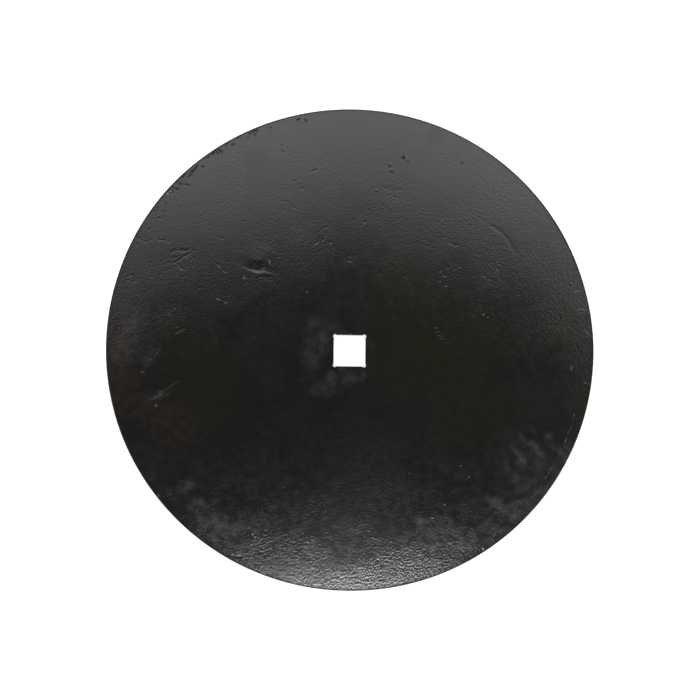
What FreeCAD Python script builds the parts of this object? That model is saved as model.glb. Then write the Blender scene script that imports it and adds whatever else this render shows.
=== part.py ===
import FreeCAD, Part

import math
import os

# A harrow disc blade, dished from one round of steel plate. It lies on its back, the open side up.
# The origin is on the blade's own axis, level with the lowest edge of the axle hole, and +Z is
# the axis. The sides of the square hole run along X and Y. All sizes are in mm and degrees.

# Driving dimensions of the dish
blade_diameter = 558.8
dish_depth = 73.0
plate_thickness = 4.8

# Driving dimensions of the square axle hole and the round relief in each of its corners
axle_width = 38.1
axle_clearance = 0.4
relief_radius = 2.4
relief_reach = 1.0

# Driving dimensions of the rim: a bevel ground on the back leaves a narrow land square to the
# plate, and the corner between the land and the dish is broken
bevel_width = 11.0
edge_land = 1.6
edge_break = 0.4

# Driving dimensions and place of the long shallow dent in the dish
dent_length = 42.0
dent_width = 17.0
dent_depth = 0.8
dent_distance = 149.0
dent_bearing = 139.0
dent_heading = -14.0

# How far a cutting tool stands past the faces that it cuts through
tool_margin = 2.0

# The dish is part of a sphere through the cutting edge, and its two faces share one centre.
edge_radius = blade_diameter / 2
edge_sphere = (edge_radius ** 2 + dish_depth ** 2) / (2 * dish_depth)
dish_sphere = edge_sphere - edge_land
back_sphere = dish_sphere + plate_thickness
hole_width = axle_width + axle_clearance
sphere_height = math.sqrt(back_sphere ** 2 - (hole_width / 2) ** 2)
sphere_centre = FreeCAD.Vector(0, 0, sphere_height)


def section_point(sphere, angle):
    """A point of the blade's section, by its sphere and its angle from the axis in radians."""
    return FreeCAD.Vector(sphere * math.sin(angle), 0, sphere_height - sphere * math.cos(angle))


def section_arc(sphere, start_angle, end_angle):
    """An arc of the section along one sphere."""
    middle_angle = (start_angle + end_angle) / 2
    ends = [section_point(sphere, angle) for angle in (start_angle, middle_angle, end_angle)]
    return Part.Arc(*ends).toShape()


def face_height(sphere, distance):
    """The height of a face of the dish at a distance from the axis."""
    return sphere_height - math.sqrt(sphere ** 2 - distance ** 2)


def dished_plate():
    """The plate with its ground rim, revolved about the axis."""
    rim_angle = math.asin(edge_radius / edge_sphere)
    break_angle = rim_angle - edge_break / dish_sphere
    bevel_angle = rim_angle - bevel_width / back_sphere
    rim = Part.makePolygon([
        section_point(dish_sphere, break_angle),
        section_point(dish_sphere + edge_break, rim_angle),
        section_point(edge_sphere, rim_angle),
        section_point(back_sphere, bevel_angle),
    ])
    section = Part.Wire([
        section_arc(dish_sphere, 0, break_angle),
        *rim.Edges,
        section_arc(back_sphere, bevel_angle, 0),
        Part.makeLine(section_point(back_sphere, 0), section_point(dish_sphere, 0)),
    ])
    return Part.Face(section).revolve(FreeCAD.Vector(0, 0, 0), FreeCAD.Vector(0, 0, 1), 360)


def axle_hole():
    """The punch of the square hole, with a round relief at each corner."""
    relief_centre = hole_width / 2 + relief_reach - relief_radius
    corner_distance = math.hypot(relief_centre, relief_centre) + relief_radius
    bottom = -tool_margin
    height = face_height(dish_sphere, corner_distance) + tool_margin - bottom
    punch = Part.makeBox(
        hole_width, hole_width, height, FreeCAD.Vector(-hole_width / 2, -hole_width / 2, bottom)
    )
    reliefs = [
        Part.makeCylinder(relief_radius, height, FreeCAD.Vector(x, y, bottom))
        for x in (-relief_centre, relief_centre)
        for y in (-relief_centre, relief_centre)
    ]
    return punch.fuse(reliefs)


def dent_radius(size):
    """The radius that takes a dent of this size down to its depth in the curved dish."""
    return 1 / (8 * dent_depth / size ** 2 + 1 / dish_sphere)


def press_dent():
    """A ring whose outside makes the dent: it curves one way along it and more tightly across."""
    along = dent_radius(dent_length)
    across = dent_radius(dent_width)
    bearing = math.radians(dent_bearing)
    heading = math.radians(dent_heading)
    floor = FreeCAD.Vector(
        dent_distance * math.cos(bearing),
        dent_distance * math.sin(bearing),
        face_height(dish_sphere, dent_distance),
    )
    normal = (sphere_centre - floor).normalize()
    ring_axis = normal.cross(FreeCAD.Vector(math.cos(heading), math.sin(heading), 0)).normalize()
    ring_centre = floor + normal * (along - dent_depth)
    return Part.makeTorus(along - across, across, ring_centre, ring_axis)


blade = dished_plate().cut(axle_hole()).cut(press_dent())

os.makedirs("parts", exist_ok=True)
blade.exportStep("parts/disc_blade.step")
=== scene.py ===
import math

import bpy
import numpy as np
from mathutils import Matrix, Vector


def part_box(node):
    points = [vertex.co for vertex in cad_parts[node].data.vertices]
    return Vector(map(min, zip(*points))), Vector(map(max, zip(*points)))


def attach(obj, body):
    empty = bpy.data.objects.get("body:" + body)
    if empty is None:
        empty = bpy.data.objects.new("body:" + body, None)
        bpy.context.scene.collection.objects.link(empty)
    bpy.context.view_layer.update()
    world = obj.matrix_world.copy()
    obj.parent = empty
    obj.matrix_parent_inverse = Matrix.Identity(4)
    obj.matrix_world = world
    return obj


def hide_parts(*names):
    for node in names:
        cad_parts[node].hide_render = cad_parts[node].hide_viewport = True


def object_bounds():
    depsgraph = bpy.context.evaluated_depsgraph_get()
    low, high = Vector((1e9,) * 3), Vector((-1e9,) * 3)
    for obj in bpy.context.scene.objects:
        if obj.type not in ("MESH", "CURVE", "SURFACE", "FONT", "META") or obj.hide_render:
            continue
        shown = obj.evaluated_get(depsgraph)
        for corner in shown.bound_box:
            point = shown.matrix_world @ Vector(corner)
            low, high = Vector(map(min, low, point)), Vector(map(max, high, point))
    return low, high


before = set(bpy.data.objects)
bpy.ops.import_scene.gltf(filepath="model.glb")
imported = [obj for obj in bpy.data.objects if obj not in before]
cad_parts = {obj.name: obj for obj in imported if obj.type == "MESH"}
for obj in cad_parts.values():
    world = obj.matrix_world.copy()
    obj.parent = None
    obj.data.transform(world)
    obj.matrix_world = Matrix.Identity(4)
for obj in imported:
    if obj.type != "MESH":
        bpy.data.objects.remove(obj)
cad_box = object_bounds()

# A dished harrow blade in black dip paint. Its sizes are in metres.
mm = 0.001

# The dish: two faces on one centre, from the square hole out to the cutting edge
blade_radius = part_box("disc_blade")[1].x
dish_depth = 73.0 * mm
plate_thickness = 4.8 * mm
edge_land = 1.6 * mm
edge_break = 0.4 * mm
bevel_width = 11.0 * mm
edge_sphere = (blade_radius ** 2 + dish_depth ** 2) / (2 * dish_depth)
dish_sphere = edge_sphere - edge_land
back_sphere = dish_sphere + plate_thickness

# The square hole, the round relief in each of its corners, and how far out the rings are circles again
hole_half = 19.25 * mm
relief_radius = 2.4 * mm
relief_reach = 1.0 * mm
relief_centre = hole_half + relief_reach - relief_radius
hole_blend = 42.0 * mm

sphere_centre = Vector((0, 0, math.sqrt(back_sphere ** 2 - hole_half ** 2)))
rim_angle = math.asin(blade_radius / edge_sphere)

# How finely the blade is drawn: steps round it, and rings across its two faces
spokes = 360
relief_steps = 18
dish_rings = 68
back_rings = 20

# The roundings that the paint leaves on the corners of the plate
hole_rounding = 0.45 * mm
rim_rounding = 0.2 * mm

# The strip along the cutting edge that the shears have rolled over: its width, and how far it falls
rim_roll = 1.3 * mm
roll_fall = 0.04 * mm
roll_angle = rim_angle - rim_roll / dish_sphere
break_angle = rim_angle - edge_break / dish_sphere
bevel_angle = rim_angle - bevel_width / back_sphere

# Along the top it falls further: how far, how far inside the edge that starts, and how wide it is
top_fall = 0.3 * mm
top_fall_start = 1.92 * mm
top_fall_width = 0.79 * mm

# Up to this share of its radius the blade is truly round, and its marks die out this near to its edge
true_share = 0.6
mark_fade = 1.2 * mm

# Points this near to each other are merged, and points this near to a corner of the section are on it
merge_gap = 0.01 * mm
corner_gap = 0.02 * mm

# How far off the dish's sphere the middle of a face, or a point, still belongs to the dish
face_gap = 0.05 * mm
point_gap = 0.001 * mm


def places(mesh):
    """The places of a mesh's points, as an array."""
    spots = np.empty(len(mesh.vertices) * 3)
    mesh.vertices.foreach_get("co", spots)
    return spots.reshape(-1, 3)


def select_points(piece, chosen):
    """Selects points of a piece in edit mode, by a test of their places."""
    bpy.ops.mesh.select_mode(type="VERT")
    bpy.ops.mesh.select_all(action="DESELECT")
    bpy.ops.object.mode_set(mode="OBJECT")
    piece.data.vertices.foreach_set("select", chosen(places(piece.data)))
    bpy.ops.object.mode_set(mode="EDIT")


def section_point(sphere, angle):
    """A point of the blade's section, by its sphere and its angle from the axis."""
    return sphere_centre + sphere * Vector((math.sin(angle), 0, -math.cos(angle)))


def extrude_to(place, goal):
    """Draws a straight line of the section from one place to the next."""
    bpy.ops.mesh.extrude_vertices_move(TRANSFORM_OT_translate={"value": goal - place})
    return goal


def draw_section():
    """The outline of half the blade's section, from the hole round the rim and back."""
    bpy.ops.object.select_all(action="DESELECT")
    bpy.ops.mesh.primitive_plane_add(size=mm)
    piece = bpy.context.object
    piece.name = "harrow_blade"
    bpy.ops.object.mode_set(mode="EDIT")
    bpy.ops.mesh.merge(type="CENTER")
    back_start = math.asin(hole_half / back_sphere)
    dish_start = math.asin(hole_half / dish_sphere)
    place = section_point(back_sphere, back_start)
    bpy.ops.transform.translate(value=place)
    extrude_to(place, section_point(dish_sphere, dish_start))
    bpy.ops.mesh.spin(
        steps=dish_rings, angle=roll_angle - dish_start, center=sphere_centre, axis=(0, 1, 0)
    )
    place = section_point(dish_sphere, roll_angle)
    for sphere, angle in (
        (dish_sphere + roll_fall / 2, (roll_angle + break_angle) / 2),
        (dish_sphere + roll_fall, break_angle),
        (dish_sphere + edge_break, rim_angle),
        (edge_sphere, rim_angle),
        (back_sphere, bevel_angle),
    ):
        place = extrude_to(place, section_point(sphere, angle))
    bpy.ops.mesh.spin(
        steps=back_rings, angle=bevel_angle - back_start, center=sphere_centre, axis=(0, -1, 0)
    )
    bpy.ops.mesh.select_all(action="SELECT")
    bpy.ops.mesh.remove_doubles(threshold=merge_gap)
    return piece


def is_near(spots, place):
    """Which points lie at a place of the section, at any turn about the axis."""
    distance = np.hypot(spots[:, 0], spots[:, 1])
    return np.hypot(distance - place.x, spots[:, 2] - place.z) < corner_gap


def round_corners(piece, corners, rounding):
    """Rounds corners of the blade, one after another, all the way round the axis."""
    for corner in corners:
        select_points(piece, lambda spots: is_near(spots, corner))
        bpy.ops.mesh.bevel(offset=rounding, segments=3, affect="EDGES", clamp_overlap=False)


def revolve(piece):
    """Turns the section about the axis and rounds the plate's corners."""
    bpy.ops.mesh.select_all(action="SELECT")
    bpy.ops.mesh.spin(steps=spokes, angle=math.tau, center=(0, 0, 0), axis=(0, 0, 1))
    bpy.ops.mesh.select_all(action="SELECT")
    bpy.ops.mesh.remove_doubles(threshold=merge_gap)
    bpy.ops.mesh.normals_make_consistent(inside=False)
    hole_corners = [
        section_point(sphere, math.asin(hole_half / sphere)) for sphere in (dish_sphere, back_sphere)
    ]
    rim_corners = [
        section_point(dish_sphere + roll_fall, break_angle),
        section_point(dish_sphere + edge_break, rim_angle),
        section_point(edge_sphere, rim_angle),
    ]
    round_corners(piece, hole_corners, hole_rounding)
    round_corners(piece, rim_corners, rim_rounding)
    bpy.ops.object.mode_set(mode="OBJECT")


def smooth(share):
    """Eases a share from 0 to 1."""
    share = np.clip(share, 0, 1)
    return share * share * (3 - 2 * share)


def hole_outline(turn, grow):
    """The square outline with its relieved corners, grown outwards by a distance.

    The turn runs from 0 to 4, one for each corner, from the middle of one side to the next.
    """
    quarter = np.floor(turn)
    share = turn - quarter
    half = hole_half + grow
    radius = relief_radius + grow
    neck = relief_centre - np.sqrt(radius ** 2 - (half - relief_centre) ** 2)
    side_share = (spokes / 4 - relief_steps) / (spokes / 2)
    first = np.clip(share / side_share, 0, 1)
    last = np.clip((1 - share) / side_share, 0, 1)
    start = np.arctan2(neck - relief_centre, half - relief_centre)
    sweep = math.pi / 2 - 2 * start
    angle = start + sweep * np.clip((share - side_share) / (1 - 2 * side_share), 0, 1)
    on_first = share < side_share
    on_last = share > 1 - side_share
    across = np.where(on_first, half, relief_centre + radius * np.cos(angle))
    across = np.where(on_last, neck * last, across)
    along = np.where(on_first, neck * first, relief_centre + radius * np.sin(angle))
    along = np.where(on_last, half, along)
    cos, sin = np.cos(quarter * math.pi / 2), np.sin(quarter * math.pi / 2)
    return across * cos - along * sin, across * sin + along * cos


def square_hole(piece):
    """Draws the round bore out to the square hole, and eases the rings round it back to circles."""
    mesh = piece.data
    spots = places(mesh)
    distance = np.hypot(spots[:, 0], spots[:, 1])
    inner = distance < hole_blend
    height = sphere_centre.z - spots[inner, 2]
    sphere = np.sqrt(distance[inner] ** 2 + height ** 2)
    turn = (np.arctan2(spots[inner, 1], spots[inner, 0]) / (math.pi / 2)) % 4
    turn = np.round(turn * spokes / 4) / (spokes / 4) % 4
    grow = distance[inner] - hole_half
    square_x, square_y = hole_outline(turn, grow)
    ease = smooth(grow / (hole_blend - hole_half))
    spots[inner, 0] = square_x + (spots[inner, 0] - square_x) * ease
    spots[inner, 1] = square_y + (spots[inner, 1] - square_y) * ease
    level = spots[inner, 0] ** 2 + spots[inner, 1] ** 2
    spots[inner, 2] = sphere_centre.z - np.sqrt(sphere ** 2 - level)
    mesh.vertices.foreach_set("co", spots.ravel())
    mesh.update()


# The marks on the open side, in millimetres across and up it. A mark's heading is its length's turn
# from the right, in degrees.

# Blisters of scale and paint: middle, length, width, heading and height. What is sunk has a height
# below nothing.
blisters = (
    (-85, 237, 6, 3, -35, 0.40), (-83, 231, 6, 3, -25, 0.40), (-46, 212, 12, 4, 15, 0.24),
    (-69, 199, 5, 3, 0, 0.25), (-61, 192, 8, 3.5, -60, 0.35), (-56, 187, 6, 3, -40, 0.25),
    (61, 229, 8, 5.5, -38, -0.8), (66, 225, 6, 3, -38, -0.2), (45, 221, 6, 6, -60, -0.8),
    (48, 214, 7, 5, -20, -0.6), (131, 221, 6, 5, 0, -0.9), (150, 222, 4, 2.5, 0, -0.2),
    (15.5, 154.5, 9, 4, 35, 0.45), (-128.3, 84.6, 7.5, 5.5, -5, 0.9), (-158, 96, 8, 3.5, -62, 0.35),
    (-152, 90, 9, 3, -25, 0.3), (-155, 128, 8, 3, -5, 0.2), (-53, 71, 5, 4.5, 0, 0.3),
    (-158, 57, 7, 4, -20, 0.35), (-151, 54, 8, 4, -35, 0.45), (-144, 57, 5, 3, 20, 0.25),
    (-215, 36, 8, 3, -50, 0.25), (-207, 42, 6, 3, -30, 0.2), (-116, 14, 5, 4, 80, 0.2),
    (-241, -35.5, 6, 3, 0, 0.35), (109, 97, 4, 3, 0, 0.3), (118, 101, 6, 3, 30, 0.3),
    (127, 98, 5, 3, 10, 0.25), (114, 91, 6, 3, -20, 0.25), (132, 101, 4, 3, 0, 0.2),
    (108, 85, 5, 3, 10, 0.2), (116, 79, 7, 2, 0, 0.25), (176, 96, 6, 3.5, -60, 0.3),
    (167, 85, 5, 3, 10, 0.25), (160, 88, 5, 3, 0, 0.2), (200, 64, 7, 2, -8, 0.22),
    (160, 43, 4.5, 3.5, 0, 0.35), (164.5, 40.5, 4, 3, -30, 0.3), (-1, 115, 7, 3, 0, 0.25),
    (-2, 109, 8, 3, 5, 0.25), (29, 192, 7, 4, 10, -0.25), (42, 194, 7, 3, -10, 0.22),
    (45, 188, 7, 3, 20, -0.22), (52, 184, 6, 3, -10, 0.25), (58, 192, 6, 3, 0, 0.2),
    (-42, 130, 9, 4, 35, 0.4), (-35, 134, 7, 3, 10, 0.3), (-25, 131, 7, 4, -15, 0.4),
    (-21, 125, 7, 3.5, -70, 0.4), (-234, 75, 5, 3, 0, 0.25), (-224, 79, 5, 4, 0, 0.3),
    (-222, 72, 5, 3, 20, 0.22), (-63, 203, 3, 3, 0, 0.25), (154, 163, 5, 3, 0, -0.2),
    (256, 73, 5, 2.5, 0, -0.3), (-154, 168, 8, 3, 10, 0.14), (-186, 111, 8, 3, 10, 0.2),
    (-120, 37, 6, 3, 0, 0.15), (-95, 160, 9, 3, -20, 0.13), (-130, 150, 10, 3, 5, 0.12),
    (-196, 80, 8, 3, 20, 0.15), (-180, 68, 7, 3, 0, 0.14), (-205, 20, 9, 3, 30, 0.2),
    (-98.6, 106.6, 5, 8, 10, 0.65),
)

# Flecks along the rim, where scale stood up before the paint, in the same columns
rim_flecks = (
    (-119.5, 248.8, 8, 2.8, -22, 1.0), (-115.6, 250.8, 8, 2.6, 22, 1.0), (-122.5, 246.5, 7, 2.4, 25, 0.9),
    (-117.0, 246.5, 6, 2.4, -20, 0.7), (-124.4, 240.8, 3, 5, 0, 0.6), (-136.0, 242.2, 9, 2.6, 28, 1.0),
    (-141.8, 233.8, 7, 2.8, 10, 0.6), (-149.4, 233.6, 9, 2.6, 30, 1.0), (-156.7, 225.2, 9, 3.0, -24, 1.2),
    (-161.3, 222.6, 8, 2.8, -24, 1.1), (-165.0, 221.0, 8, 2.4, 34, 0.9), (-171.5, 216.4, 8, 2.8, 5, 1.0),
    (-176.4, 205.6, 5, 2.8, -10, 0.6), (-184.5, 203.0, 12, 2.2, 36, 0.8), (-187.2, 199.6, 12, 2.2, 36, 0.8),
    (-190.0, 196.6, 11, 2.2, 38, 0.8), (-203.0, 184.2, 9, 3.0, -4, 1.3), (-206.0, 187.4, 8, 2.4, 28, 1.0),
    (-199.0, 192.0, 8, 2.2, 40, 0.8), (-211.9, 173.6, 8, 2.8, -12, 1.1), (-193.5, 183.3, 9, 2.6, 8, 0.5),
    (-215.8, 170.6, 7, 2.4, 40, 1.0), (-219.0, 160.2, 6, 2.6, 0, 1.0), (-220.4, 151.4, 6, 2.8, 0, 0.9),
    (-211.6, 177.4, 8, 2.4, 34, 1.0), (-228.5, 152.0, 7, 2.4, 50, 0.9), (-205.0, 178.0, 6, 2.2, 20, 0.6),
    (-65.8, 266.0, 8, 2.4, 12, 0.7), (-56.6, 265.2, 7, 2.6, -20, 0.7), (-98, 255, 6, 2.4, 10, 0.4),
    (-193.5, 194.3, 3, 3, 0, 1.3), (-224.5, 143.0, 5, 2.4, 10, 0.5), (-236.0, 129.0, 6, 2.4, 20, 0.5),
)

# Raised wrinkles: width, height, and the points that each runs through
wrinkles = (
    (3.5, 0.24, ((-213, 106), (-206, 109), (-198, 109), (-192, 112))),
    (3.5, 0.27, ((-208, 95), (-203, 98), (-199, 102), (-191, 107))),
    (3.5, 0.27, ((-205, 93), (-203, 89), (-199, 88))),
    (3.0, 0.14, ((-215, 101), (-210, 99), (-206, 101))),
    (2.4, 0.2, ((-251, 118), (-245, 116), (-239, 115), (-233, 118))),
    (2.4, 0.22, ((-227, 119), (-221, 119), (-214, 117.5))),
    (2.6, 0.22, ((-260, 71), (-257, 75), (-252, 74), (-250, 70), (-254, 67), (-259, 68))),
    (3.0, 0.05, ((-47, 138), (-34, 147), (-19, 156))),
    (3.0, 0.13, ((-85, 176), (-79, 176), (-71, 171), (-65, 167))),
    (1.8, -0.07, ((21, 236), (38, 239), (55, 248), (68, 252), (80, 256))),
    (4.0, 0.05, ((146, 161), (158, 154), (168, 146))),
    (7.0, 0.14, ((168, 146), (176, 141), (183, 134), (189, 126), (193, 118), (195, 113))),
    (2.4, 0.2, ((120, 130), (123, 126.5), (129, 126.5))),
    (3.0, 0.22, ((-206, 11), (-201, 15), (-196, 18))),
    (2.2, 0.25, ((-100, 105), (-96.0, 101.8))),
    (3.2, -0.09, ((-108, 119.5), (-100.5, 117.2), (-92.5, 114.4))),
    (2.2, 0.22, ((-105.8, 95.5), (-105.2, 98.5))),
    (2.4, 0.10, ((-109, 85.6), (-104, 85.4), (-97, 86.6))),
    (2.2, 0.09, ((-113, 82.4), (-106, 83.4), (-94, 83))),
    (2.4, -0.06, ((-124.4, 80.6), (-114.4, 82.0), (-107, 84))),
    (6.5, 0.07, ((-87, 100.5), (-84, 106), (-81, 110.5))),
    (2.0, 0.16, ((102, 28), (107, 28))),
    (2.0, 0.16, ((104, 24), (109, 23))),
    (2.0, 0.16, ((107, 19), (111, 18))),
    (2.0, 0.16, ((110, 14), (114, 15))),
    (2.0, 0.16, ((114, 10), (119, 9))),
    (2.0, 0.13, ((-63, -38), (-57, -38))),
    (2.4, 0.12, ((-229, -68), (-223, -64), (-217, -61))),
    (2.4, 0.10, ((-212, -54), (-206, -49), (-199, -44))),
    (2.4, 0.30, ((-129, -242), (-119, -244))),
)

# The height at which the coat of a mark has gone dull, and how far the outlines of marks wander
dull_height = 0.25
mark_wander = 0.55

# Single grains under the paint: place and width, and how high they stand as a share of the width
grain_rise = 0.065
grains = (
    (-148, -108, 3), (-144, -116, 2.5), (-136, -134, 3), (-76, -167, 3.5), (11, -152, 3.5),
    (-26, -194, 3), (-108, -220, 3), (-84, -125, 3), (71, -150, 4), (66, -151, 2.5), (139, -153, 4),
    (145, -152, 2.5), (130, -140, 3), (120, -170, 3), (110, -185, 3.5), (76, -194, 2.5),
    (95, -200, 3), (58, -178, 3), (140, -87, 2.5), (101, -18, 3), (-201, -176, 3.5),
    (149, -234, 3.5), (-193, 194, 4), (256, -27, 4), (222, -20, 3), (274, 14, 4), (278, 10, 3),
    (263, 65, 3), (-223, -75, 4), (93, -21, 2.5), (-235, 25, 2.5),
    (-64, 267, 3), (-180, -6, 2.5), (-128, 16, 2.5), (-94, 96, 2.5), (196, 90, 3), (50, 60, 2.5),
)

# Pale marks in the coat, where it is scratched and where glints are painted as pale dots on grains: middle,
# length, width, heading and strength
scuffs_and_glints = (
    (250.5, -97.5, 11, 1.5, 61, 0.8), (245, -111, 10, 1.5, 66, 0.8), (228, -142.5, 14, 1.5, 58, 0.9),
    (222, -152, 5, 1.4, 55, 0.5), (209, -171.5, 12, 1.6, 45, 0.8), (200, -180.5, 7, 1.4, 40, 0.5),
    (168.5, -212.5, 6, 1.8, 30, 0.9), (163, -216, 5, 1.5, 60, 0.7), (149.5, -232.8, 3, 2.5, 0, 0.9),
    (255, -83, 8, 1.3, 70, 0.5), (238.5, -124.5, 9, 1.2, 62, 0.4), (216, -161.5, 8, 1.2, 50, 0.4),
    (192, -189.5, 8, 1.2, 42, 0.4), (182, -199.5, 7, 1.2, 38, 0.3), (247, -116, 7, 1.1, 66, 0.3),
    (267.5, 41.5, 12, 1.5, -3, 0.9), (268, 37.5, 10, 1.3, -8, 0.5), (272.5, 14.5, 7, 2.4, -60, 0.9),
    (270.5, -45, 7, 1.6, -22, 0.9), (256, -25, 4.5, 3.5, 20, 0.9), (262, 63, 7, 1.5, 0, 0.5),
    (-223.5, -65, 13, 2.6, 32, 0.38), (-217, -58, 9, 1.6, 40, 0.35), (-206, -49, 15, 1.8, 38, 0.28),
    (-225.5, -14, 17, 1.8, 64, 0.25), (-231, -21, 5, 2.4, 30, 0.35), (-223, -74.5, 3.5, 3, 0, 0.7),
    (-238, -36, 4, 2, 10, 0.5), (-212, -62, 10, 1.4, 30, 0.3), (0.5, 20.6, 5, 2.0, 0, 1.0),
    (-212, -177, 3, 3, 0, 0.8), (-124, -242, 8, 1.6, -14, 0.6),
)

# Chips along the bottom of the rim that show no gloss, in the same columns
chips = (
    (-41.5, -274.6, 12, 2.0, -9, 0.8), (-28.5, -276.6, 12, 3.0, -6, 1.0), (0.5, -277.8, 20, 1.8, 0, 0.9),
    (-62, -271.0, 9, 1.6, -13, 0.6), (20, -277.4, 8, 1.6, 4, 0.6),
)

# The strip along the edge is matt too: its width, how matt it is at both sides, and how much more
# at the top and less at the bottom
matt_strip = 1.9
side_matt = 0.3
top_matt = 0.4

# How far the outlines of patches wander
patch_wander = 1.6

# Soft patches where the coat has less gloss, in the same columns
matt_patches = (
    (96, 250, 26, 18, 0, 0.35), (-113, 219, 44, 26, -20, 0.26), (-190, 150, 30, 22, 40, 0.26),
    (-70, 196, 60, 40, -40, 0.12), (150, 175, 60, 30, -30, 0.12), (-205, 128, 26, 18, 0, 0.24),
    (36, 215, 60, 30, 10, 0.10), (-150, 185, 60, 20, 40, 0.14), (-118, 200, 20, 40, 0, 0.2),
)

# Where the coat is rougher: middle, length, width, heading and strength
rough_patches = (
    (45, 189, 40, 18, 0, 1.0), (30, 165, 60, 26, 25, 0.6), (120, 96, 34, 28, 30, 0.9),
    (168, 90, 30, 20, 50, 0.9), (-201, 98, 44, 30, 20, 0.9), (-2, 112, 20, 16, 0, 0.9),
    (-150, 56, 26, 14, -20, 0.8), (-256, 73, 20, 20, 0, 0.8), (46, 218, 12, 18, -20, 0.8),
    (-105, 82, 46, 16, 10, 0.9), (-85, 104, 44, 26, 0, 0.6), (-210, 38, 40, 26, 20, 0.6),
    (-60, 190, 22, 20, 0, 0.5), (-150, 205, 60, 20, 30, 0.4), (-20, 50, 50, 40, 0, 0.4),
    (-190, 195, 60, 14, 45, 0.7), (-130, 235, 70, 14, 22, 0.6), (62, 50, 40, 34, 0, 0.4),
    (20, -55, 40, 20, 0, 0.4),
)

# Hazy finger and palm marks: middle, length, width, heading and strength
smudges = (
    (190, -119, 14, 7, -52, 0.7), (198, -132, 20, 11, -58, 1.0), (206, -112, 13, 8, -50, 0.7),
    (215, -122, 18, 12, -55, 1.0), (219, -137, 22, 10, -58, 0.7), (228, -106, 14, 9, -45, 0.6),
    (236, -118, 14, 9, -40, 0.7), (246, -125, 14, 13, -40, 0.9), (213, -98, 10, 7, -40, 0.4),
    (200, -105, 12, 7, -50, 0.4), (240, -150, 14, 13, -50, 0.6), (183, -141, 20, 9, -68, 0.6),
    (190, -156, 24, 10, -72, 0.6), (205, -160, 22, 14, -60, 0.5), (168, -181, 16, 12, -40, 0.7),
    (182, -194, 26, 18, -35, 0.8), (160, -180, 12, 8, -30, 0.6), (196, -182, 18, 12, -40, 0.6),
    (205, -150, 110, 62, -62, 0.22), (176, -200, 60, 34, 35, 0.35), (222, -186, 40, 14, 48, 0.35),
    (84, -203, 20, 9, -20, 0.7), (95, -226, 16, 14, 30, 0.8), (114, -205, 16, 14, 0, 0.5),
    (142, -221, 20, 12, -30, 0.5), (128, -232, 24, 14, -20, 0.4), (100, -215, 60, 34, -20, 0.3),
    (-219, -156, 14, 8, -35, 0.5), (-183, -165, 20, 13, 35, 0.75), (-195, -173, 18, 14, 40, 0.6),
    (-171, -184, 17, 16, 60, 0.8), (-160, -204, 40, 20, -35, 0.45), (-146, -206, 20, 16, -30, 0.7),
    (-130, -217, 20, 12, -40, 0.8), (-150, -222, 30, 14, -35, 0.5), (-140, -210, 70, 36, -35, 0.35),
    (-31, 12, 12, 44, 0, 0.5), (-36, -5, 8, 8, 0, 0.4), (-9, -23.4, 10, 4.5, -5, 1.0),
    (-22, -34, 12, 20, 0, 0.65), (17.6, -31, 6, 14, 0, 0.85), (-2, -34, 34, 16, 0, 0.5),
    (-46, -6, 26, 60, 0, 0.45), (-30, -48, 40, 20, 0, 0.4), (-22, 30, 18, 14, 0, 0.5),
    (-257, 4, 60, 26, 78, 0.45), (-246, 20, 34, 20, 60, 0.3), (-44, 34, 22, 16, 40, 0.4),
    (-220, -62, 22, 10, 35, 0.6), (-232, -15, 26, 12, 65, 0.5), (-60, 140, 30, 26, 0, 0.3),
    (232, -145, 120, 12, 58, 0.35),
)

# Where the coat shows brown: middle, length, width, heading and strength
brown_patches = (
    (-266, -40, 190, 34, 90, 0.8), (-240, -70, 90, 40, -60, 0.6), (25, 8.5, 9, 20, 0, 0.9),
    (-7, 22.5, 19, 6, 0, 1.0), (250, 12, 40, 22, 0, 0.6), (-200, -95, 60, 50, -20, 0.6),
)

# Where it shows olive, in the same columns
olive_patches = (
    (100, 10, 150, 150, 0, 0.9), (60, 90, 70, 60, -20, 0.8), (150, -80, 110, 70, 20, 0.7),
    (-172, -50, 80, 110, 0, 0.9), (-200, 0, 50, 60, 0, 0.7), (252, 30, 40, 90, 0, 0.7),
    (262, -60, 30, 60, 0, 0.6), (-48, 100, 16, 50, 0, 0.6), (-75, 150, 20, 26, 0, 0.4),
    (45, 145, 20, 16, 0, 0.4), (170, 10, 70, 60, 0, 0.5),
)

# The long dent: it is sunk above a ridge that a blow has thrown up along its lower side
dent_middle = (-112.5, 97.8)
dent_heading = -14
dent_depth = 0.35

# Its bowl: half its length, how far above the ridge it is down, how far up it reaches, and how wide
# its way out is there
bowl_half = 19
bowl_start = 10
bowl_reach = 36
bowl_end = 24

# Its ridge, and the box round that, along and across it. In the rows: the step along it, the place of
# the crest, how far the steep side falls, the height, and how far the other side rises.
ridge_along = (-25, 27)
ridge_across = (-7, 10)
dent_ridge = (
    (-32, -4.4, 1.6, 0.00, 14), (-24, -4.5, 1.8, 0.05, 14), (-17, -4.6, 2.4, 0.14, 14),
    (-9, -4.7, 3.2, 0.42, 12.4), (-3, -4.6, 4.0, 0.95, 12), (3, -3.5, 4.4, 1.10, 12),
    (6, -2.4, 3.6, 0.90, 11), (10, -2.3, 1.9, 0.40, 10), (18, -1.8, 1.7, 0.13, 9),
    (26, -1.2, 1.4, 0.07, 8), (33, -0.9, 1.0, 0.00, 8),
)

# How far its crest wanders, and the height of the crumples behind it as a share of the ridge's
crest_wander = 0.35
crumple_share = 0.11

# A random swell: how many waves it adds up, and what their sum is divided by
wave_count = 6
wave_height = 2.5

# Where a patch ends, as a share of its half width, and how wide its soft edge is
patch_end = 1.5
patch_softness = 1.3

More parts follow.
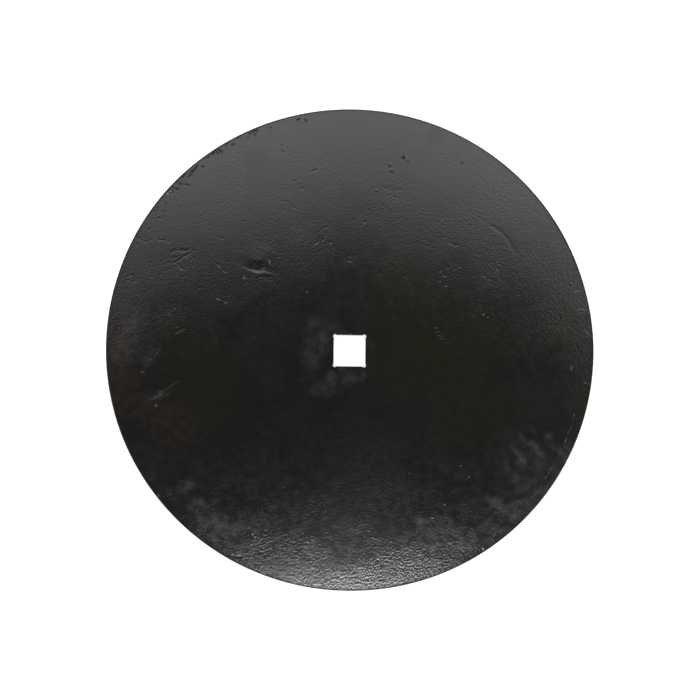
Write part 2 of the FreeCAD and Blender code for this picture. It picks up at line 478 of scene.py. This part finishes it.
# How far the rim stands inside a true circle, by its bearing
rim_wobble = (
    (0, 0.05), (15, 0.5), (35, 0.15), (60, 0.1), (85, 0.2), (105, 0.45), (120, 0.45), (140, 0.1),
    (165, 0.55), (180, 0.3), (200, 0.0), (235, 0.15), (270, 0.5), (290, 0.2), (320, 0.0), (345, 0.0),
)


def local(spots, middle, heading):
    """Places along and across a mark, in millimetres."""
    turn = math.radians(heading)
    across = spots[:, 0] - middle[0]
    up = spots[:, 1] - middle[1]
    along = across * math.cos(turn) + up * math.sin(turn)
    return along, up * math.cos(turn) - across * math.sin(turn)


def ripple(spots, length, seed):
    """A smooth random swell between about -1 and 1 over the dish, by the length of its waves."""
    chance = np.random.default_rng(seed)
    turns = chance.uniform(0, math.pi, wave_count)
    starts = chance.uniform(0, math.tau, wave_count)
    stretches = chance.uniform(0.7, 1.5, wave_count)
    total = np.zeros(len(spots))
    for turn, start, stretch in zip(turns, starts, stretches):
        way = spots[:, 0] * math.cos(turn) + spots[:, 1] * math.sin(turn)
        total += np.sin(way * math.tau / (length * stretch) + start)
    return total / wave_height


def dome(share):
    """A round bump: 1 in its middle, and level with what is round it from a share of 1 outwards."""
    return np.clip(1 - share * share, 0, None) ** 2


def oval(spots, x, y, length, width, heading):
    """A bump with an oval outline."""
    along, across = local(spots, (x, y), heading)
    return dome(np.hypot(along / length, across / width) * 2)


def line_distance(spots, points):
    """The distance to a line through some points."""
    nearest = np.full(len(spots), np.inf)
    for (x0, y0), (x1, y1) in zip(points[:-1], points[1:]):
        length = math.hypot(x1 - x0, y1 - y0)
        along, across = local(spots, (x0, y0), math.degrees(math.atan2(y1 - y0, x1 - x0)))
        nearest = np.minimum(nearest, np.hypot(along - np.clip(along, 0, length), across))
    return nearest


def dent_height(spots):
    """The height of the dent: a shallow bowl, a rise and a ridge with a steep far side."""
    along, across = local(spots, dent_middle, dent_heading)
    steps, crests, falls, ridges, rises = zip(*dent_ridge)
    above = across - np.interp(along, steps, crests) + crest_wander * ripple(spots, 6, 11)
    ridge = np.interp(along, steps, ridges)
    rise = np.clip(1 - above / np.interp(along, steps, rises), 0, 1)
    fall = smooth(1 + above / np.interp(along, steps, falls))
    crumple = crumple_share * ripple(spots, 3.8, 12) * smooth(rise * 4) * smooth(above / 2)
    bowl = dome(along / bowl_half) * smooth(above / bowl_start)
    bowl *= smooth((bowl_reach - above) / bowl_end)
    return ridge * (rise * (1.6 - 0.6 * rise) * fall + crumple) - dent_depth * bowl


def wandered(spots, reach, length, seed):
    """Places moved about a little, so that an outline drawn at them isn't a true oval."""
    drift = [ripple(spots, length, seed), ripple(spots, length, seed + 1)]
    return spots + reach * np.stack(drift, axis=1)


def small_heights(spots):
    """How far the small marks lift the dish at some places, in millimetres."""
    height = np.zeros(len(spots))
    uneven = np.clip(0.95 + 0.5 * ripple(spots, 4, 3), 0.25, 1.5)
    spots = wandered(spots, mark_wander, 7, 1)
    for x, y, length, width, heading, lift in blisters:
        height += lift * uneven * oval(spots, x, y, length, width, heading)
    for x, y, length, width, heading, lift in rim_flecks:
        height += lift * oval(spots, x, y, length, width, heading)
    for width, lift, points in wrinkles:
        height += lift * dome(line_distance(spots, points) / width * 2)
    for x, y, width in grains:
        height += grain_rise * width * oval(spots, x, y, width, width, 0)
    return height


def mark_distance(spots):
    """The distance from some places to the nearest mark, in millimetres."""
    along, across = local(spots, dent_middle, dent_heading)
    nearest = np.hypot(along - np.clip(along, *ridge_along), across - np.clip(across, *ridge_across))
    for x, y, length, width, heading, lift in blisters + rim_flecks + scuffs_and_glints + chips:
        along, across = local(spots, (x, y), heading)
        spread = max(length - width, 0) / 2
        outside = np.hypot(along - np.clip(along, -spread, spread), across) - width / 2
        nearest = np.minimum(nearest, outside)
    for width, lift, points in wrinkles:
        nearest = np.minimum(nearest, line_distance(spots, points) - width / 2)
    for x, y, width in grains:
        nearest = np.minimum(nearest, np.hypot(spots[:, 0] - x, spots[:, 1] - y) - width / 2)
    return nearest


def patch_strength(spots, table):
    """How strong the patches of a table are at some places: full in their middles, soft outwards."""
    bare = np.ones(len(spots))
    for x, y, length, width, heading, share in table:
        along, across = local(spots, (x, y), heading)
        distance = np.hypot(along / length, across / width) * 2
        bare *= 1 - share * smooth((patch_end - distance) / patch_softness)
    return 1 - bare


def centre_distance(spots):
    """The distance from the centre of the dish's sphere."""
    return np.linalg.norm(spots - np.array(sphere_centre), axis=1)


def is_open_side(spots):
    """Which points lie on the open side of the plate."""
    return centre_distance(spots) < dish_sphere + edge_land / 2


def split_dish(piece, wanted):
    """Splits the faces of the dish where a test of their middles holds."""
    mesh = piece.data
    middles = np.empty(len(mesh.polygons) * 3)
    mesh.polygons.foreach_get("center", middles)
    middles = middles.reshape(-1, 3)
    near = centre_distance(middles) < dish_sphere + face_gap
    near[near] = wanted(middles[near, :2] / mm)
    bpy.ops.object.mode_set(mode="EDIT")
    bpy.ops.mesh.select_mode(type="FACE")
    bpy.ops.mesh.select_all(action="DESELECT")
    bpy.ops.object.mode_set(mode="OBJECT")
    mesh.polygons.foreach_set("select", near)
    bpy.ops.object.mode_set(mode="EDIT")
    bpy.ops.mesh.subdivide(number_cuts=1, ngon=False)
    bpy.ops.object.mode_set(mode="OBJECT")


def raise_marks(piece):
    """Lifts and sinks the points of the dish into its marks."""
    mesh = piece.data
    spots = places(mesh)
    distance = centre_distance(spots)
    dish = distance < dish_sphere + point_gap
    inward = (np.array(sphere_centre) - spots[dish]) / distance[dish, None]
    height = (dent_height(spots[dish, :2] / mm) + small_heights(spots[dish, :2] / mm)) * mm
    edge = blade_radius - np.hypot(spots[dish, 0], spots[dish, 1])
    height *= smooth(edge / mark_fade)
    spots[dish] += inward * (distance[dish] - dish_sphere + height)[:, None]
    spots[dish, 2] = np.minimum(spots[dish, 2], cad_box[1].z)
    mesh.vertices.foreach_set("co", spots.ravel())
    mesh.update()


def pull_in_rim(piece):
    """Draws the rim in where the pressed blade is out of round, and lowers its strip along the top."""
    mesh = piece.data
    spots = places(mesh)
    distance = np.hypot(spots[:, 0], spots[:, 1])
    bearing = np.degrees(np.arctan2(spots[:, 1], spots[:, 0]))
    inset = np.interp(bearing, *zip(*rim_wobble), period=360) * mm
    share = smooth((distance / blade_radius - true_share) / (1 - true_share))
    strip = np.clip((distance - blade_radius + top_fall_start) / top_fall_width, 0, 1)
    strip *= is_open_side(spots)
    spots[:, 2] -= strip * top_fall * smooth(spots[:, 1] / distance * 1.5)
    spots[:, :2] *= (1 - inset * share / distance)[:, None]
    mesh.vertices.foreach_set("co", spots.ravel())
    mesh.update()


def note(piece, name, strength):
    """Keeps a strength at each point of a piece, for its paint."""
    strengths = piece.data.attributes.new(name, "FLOAT", "POINT")
    strengths.data.foreach_set("value", np.clip(strength, 0, 1))


def mark_paint(piece):
    """Notes where the paint is hazy, tinted, rough or matt, and where it is scratched pale or has glints
    painted on it.
    """
    spots = places(piece.data)
    shown = is_open_side(spots)
    spots = spots[:, :2] / mm
    wavy = wandered(spots, patch_wander, 17, 21)
    for name, table, at in (
        ("haze", smudges, wavy),
        ("brown", brown_patches, wavy),
        ("olive", olive_patches, wavy),
        ("rough", rough_patches, wavy),
        ("scuff_and_glint", scuffs_and_glints, spots),
    ):
        note(piece, name, patch_strength(at, table) * shown)
    distance = np.hypot(spots[:, 0], spots[:, 1])
    strip = smooth(distance - blade_radius / mm + matt_strip)
    strip *= side_matt + top_matt * spots[:, 1] / distance
    note(piece, "matt", (patch_strength(spots, matt_patches + chips) + strip) * shown)
    note(piece, "dull", smooth(np.abs(small_heights(spots)) / dull_height) * shown)


def finish_blade(piece):
    """Smooths the blade's shading, apart from its sharp corners."""
    bpy.ops.object.select_all(action="DESELECT")
    piece.select_set(True)
    bpy.context.view_layer.objects.active = piece
    bpy.ops.object.shade_smooth_by_angle(angle=math.radians(35))
    shading = piece.modifiers.new("even_shading", "WEIGHTED_NORMAL")
    shading.keep_sharp = True
    bpy.ops.object.modifier_apply(modifier=shading.name)


# The dish is split finer in three rounds: first near marks and in the haze, then ever nearer to marks
first_reach = 3.8
second_reach = 1.8
third_reach = 0.35
haze_reach = 0.45

blade = draw_section()
revolve(blade)
square_hole(blade)
split_dish(
    blade,
    lambda spots: (mark_distance(spots) < first_reach) | (patch_strength(spots, smudges) > haze_reach),
)
split_dish(blade, lambda spots: mark_distance(spots) < second_reach)
split_dish(blade, lambda spots: mark_distance(spots) < third_reach)
raise_marks(blade)
pull_in_rim(blade)
mark_paint(blade)
finish_blade(blade)


class Value:
    """A socket of a material's nodes. Arithmetic on values adds the Math nodes that do it."""

    def __init__(self, nodes, socket):
        self.nodes = nodes
        self.socket = socket

    def work_out(self, operation, first, second):
        return self.nodes.add("ShaderNodeMath", {"operation": operation}, {0: first, 1: second})

    def __add__(self, other):
        return self.work_out("ADD", self, other)

    def __radd__(self, other):
        return self.work_out("ADD", other, self)

    def __sub__(self, other):
        return self.work_out("SUBTRACT", self, other)

    def __rsub__(self, other):
        return self.work_out("SUBTRACT", other, self)

    def __mul__(self, other):
        return self.work_out("MULTIPLY", self, other)

    def __rmul__(self, other):
        return self.work_out("MULTIPLY", other, self)


class Nodes:
    """The nodes of one material or world."""

    def __init__(self, owner):
        owner.use_nodes = True
        self.tree = owner.node_tree
        self.tree.nodes.clear()

    def add(self, kind, settings, inputs, output=0):
        """Adds a node: its settings first, then the values or links of its sockets."""
        node = self.tree.nodes.new(kind)
        for name, value in settings.items():
            setattr(node, name, value)
        for name, value in inputs.items():
            if isinstance(value, Value):
                self.tree.links.new(value.socket, node.inputs[name])
            else:
                node.inputs[name].default_value = value
        if isinstance(output, tuple):
            return [Value(self, node.outputs[name]) for name in output]
        return Value(self, node.outputs[output]) if len(node.outputs) else None

    def eased(self, value, start, end, low, top):
        """A value that eases from low to top while another runs from start to end."""
        settings = {"interpolation_type": "SMOOTHSTEP", "clamp": True}
        inputs = {"Value": value, "From Min": start, "From Max": end, "To Min": low, "To Max": top}
        return self.add("ShaderNodeMapRange", settings, inputs)

    def noise(self, way, scale, detail):
        """A cloudy pattern, by how many of its clouds fill a metre."""
        inputs = {"Vector": way, "Scale": scale, "Detail": detail}
        return self.add("ShaderNodeTexNoise", {}, inputs, "Fac")

    def mix(self, share, first, second):
        """A colour between two others."""
        inputs = {"Factor": share, 6: first, 7: second}
        return self.add("ShaderNodeMix", {"data_type": "RGBA"}, inputs, 2)

    def noted(self, name):
        """A strength that was noted at the piece's points."""
        return self.add("ShaderNodeAttribute", {"attribute_name": name}, {}, "Fac")


def studio_world():
    """Soft light from below the picture, low down and at both sides, and a dark ceiling."""
    world = bpy.data.worlds.new("studio")
    bpy.context.scene.world = world
    nodes = Nodes(world)
    way = nodes.add("ShaderNodeTexCoord", {}, {}, "Generated")
    across, up, high = nodes.add("ShaderNodeSeparateXYZ", {}, {0: way}, ("X", "Y", "Z"))
    aside = nodes.add("ShaderNodeMath", {"operation": "ABSOLUTE"}, {0: across})
    upright = nodes.add("ShaderNodeMath", {"operation": "ABSOLUTE"}, {0: up})
    below = nodes.eased(aside * 0.3 - up, 0.06, 0.72, 0.0, 3.45)
    below = below * nodes.eased(high, 0.15, 0.75, 0.15, 1.0)
    level = nodes.eased(high, 0.10, 0.66, 0.7, 0.0)
    sides = nodes.eased(aside - upright * 1.2, 0.48, 0.82, 0.0, 1.3)
    above = nodes.eased(up - aside * 0.8, 0.35, 0.85, 0.0, 0.6)
    upper_left = nodes.eased(up * 0.5 - across * 0.87, 0.60, 0.90, 0.0, 0.26)
    lower_left = nodes.eased(up * -0.35 - across, 0.53, 0.70, 0.0, 0.6)
    ceiling = 0.02
    strength = below + (level + sides) + above + upper_left + lower_left + ceiling
    background = nodes.add("ShaderNodeBackground", {}, {"Strength": strength})
    nodes.add("ShaderNodeOutputWorld", {}, {"Surface": background})


def softbox(name, place, width, height, power):
    """A soft lamp that faces the blade."""
    lamp = bpy.data.lights.new(name, "AREA")
    lamp.shape = "RECTANGLE"
    lamp.size = width
    lamp.size_y = height
    lamp.energy = power
    holder = bpy.data.objects.new(name, lamp)
    bpy.context.scene.collection.objects.link(holder)
    place = Vector(place)
    turn = (-place).to_track_quat("-Z", "Y").to_matrix().to_4x4()
    holder.matrix_world = Matrix.Translation(place) @ turn


def pale_floor():
    """A plain floor that shows white and keeps the blade's shadow."""
    size = 14
    gap = 0.1 * mm
    shine = 0.45
    material = bpy.data.materials.new("pale_floor")
    nodes = Nodes(material)
    paths = ("Is Camera Ray", "Is Glossy Ray", "Is Transmission Ray")
    camera, glossy, through = nodes.add("ShaderNodeLightPath", {}, {}, paths)
    matt = nodes.add("ShaderNodeBsdfDiffuse", {}, {"Color": (0.8, 0.8, 0.8, 1)})
    glow = nodes.add("ShaderNodeEmission", {}, {"Strength": (camera + glossy + through) * shine})
    both = nodes.add("ShaderNodeAddShader", {}, {0: matt, 1: glow})
    nodes.add("ShaderNodeOutputMaterial", {}, {"Surface": both})
    bpy.ops.mesh.primitive_plane_add(size=size, location=(0, 0, -gap))
    floor = bpy.context.object
    floor.name = "floor"
    floor.data.materials.append(material)


def place_camera():
    """Looks down on the dish from a little below its middle."""
    place = Vector((-0.0278, -0.1839, 1.2012))
    target = Vector((-0.0012, -0.0104, 0.0773))
    roll = math.radians(0.611)
    lens = bpy.data.cameras.new("camera")
    lens.sensor_width = 36
    lens.lens = 51.24
    camera = bpy.data.objects.new("camera", lens)
    bpy.context.scene.collection.objects.link(camera)
    ahead = (target - place).normalized()
    right = ahead.cross(Vector((0, 1, 0))).normalized()
    up = right.cross(ahead)
    turn = Matrix((right, up, -ahead)).transposed().to_4x4()
    camera.matrix_world = Matrix.Translation(place) @ turn @ Matrix.Rotation(roll, 4, "Z")
    bpy.context.scene.camera = camera


# The colours of the coat: two blacks, two tints, the film that hands leave, and a pale grey for scratched
# places and for glints painted on grains
deep_black = (0.0074, 0.0074, 0.0076, 1)
worn_black = (0.0090, 0.0090, 0.0088, 1)
olive_black = (0.0092, 0.0096, 0.0056, 1)
brown_black = (0.018, 0.0125, 0.0092, 1)
film_grey = (0.043, 0.043, 0.044, 1)
scuff_and_glint_grey = (0.085, 0.085, 0.087, 1)

# How far its orange peel, its grain and its slow swell rise and fall
peel_height = 0.22 * mm
grain_height = 0.02 * mm
swell_height = 0.04 * mm


def dip_paint():
    """Semi-gloss black with orange peel, hazy where hands have held it and brown in places."""
    material = bpy.data.materials.new("black_dip_paint")
    nodes = Nodes(material)
    place = nodes.add("ShaderNodeTexCoord", {}, {}, "Object")
    narrowed = nodes.add("ShaderNodeMapping", {}, {"Vector": place, "Scale": (1.45, 1.0, 1.0)})
    cloud = nodes.noise(place, 22.0, 3.0)
    blotch = nodes.noise(place, 110.0, 2.0)
    streak = nodes.noise(narrowed, 260.0, 1.0)
    peel = nodes.noise(narrowed, 400.0, 1.0)
    grain = nodes.noise(narrowed, 780.0, 1.0)
    swell = nodes.noise(narrowed, 75.0, 2.0)

    coarse = nodes.eased(cloud, 0.35, 0.65, 0.7, 1.3) + nodes.noted("rough") * 0.8
    height = (peel * peel_height + grain * grain_height) * coarse + swell * swell_height
    bump = nodes.add("ShaderNodeBump", {}, {"Height": height, "Distance": 1.0, "Strength": 1.0})

    film = nodes.noted("haze") * nodes.eased(blotch, 0.30, 0.70, 0.45, 1.25)
    film = film * nodes.eased(streak, 0.30, 0.70, 0.75, 1.15)
    tint = nodes.noted("brown") * nodes.eased(blotch, 0.35, 0.60, 0.4, 0.9)
    # Pale where the coat is scratched, and painted glints as pale dots on some grains
    scratch_and_glint = nodes.noted("scuff_and_glint") * nodes.eased(streak, 0.38, 0.60, 0.2, 1.0)
    black = nodes.mix(nodes.eased(cloud, 0.35, 0.65, 0.0, 1.0), deep_black, worn_black)
    olive = nodes.mix(nodes.noted("olive"), black, olive_black)
    brown = nodes.mix(tint, olive, brown_black)
    dusty = nodes.mix(film * 0.5, brown, film_grey)
    scuffed_and_glinting = nodes.mix(scratch_and_glint, dusty, scuff_and_glint_grey)

    gloss = nodes.eased(blotch, 0.30, 0.70, 0.15, 0.22)
    rough = gloss + film * 0.06 + nodes.noted("dull") * 0.12 + nodes.noted("matt") * 0.45
    inputs = {"Base Color": scuffed_and_glinting, "Roughness": rough, "IOR": 1.5, "Normal": bump}
    shader = nodes.add("ShaderNodeBsdfPrincipled", {}, inputs)
    nodes.add("ShaderNodeOutputMaterial", {}, {"Surface": shader})
    return material


blade.data.materials.append(dip_paint())
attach(blade, "root")
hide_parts("disc_blade")

studio_world()
softbox("back_softbox", place=(0.015, 1.325, 0.90), width=0.72, height=0.46, power=20.0)
pale_floor()
place_camera()
bpy.context.scene.view_settings.view_transform = "Standard"
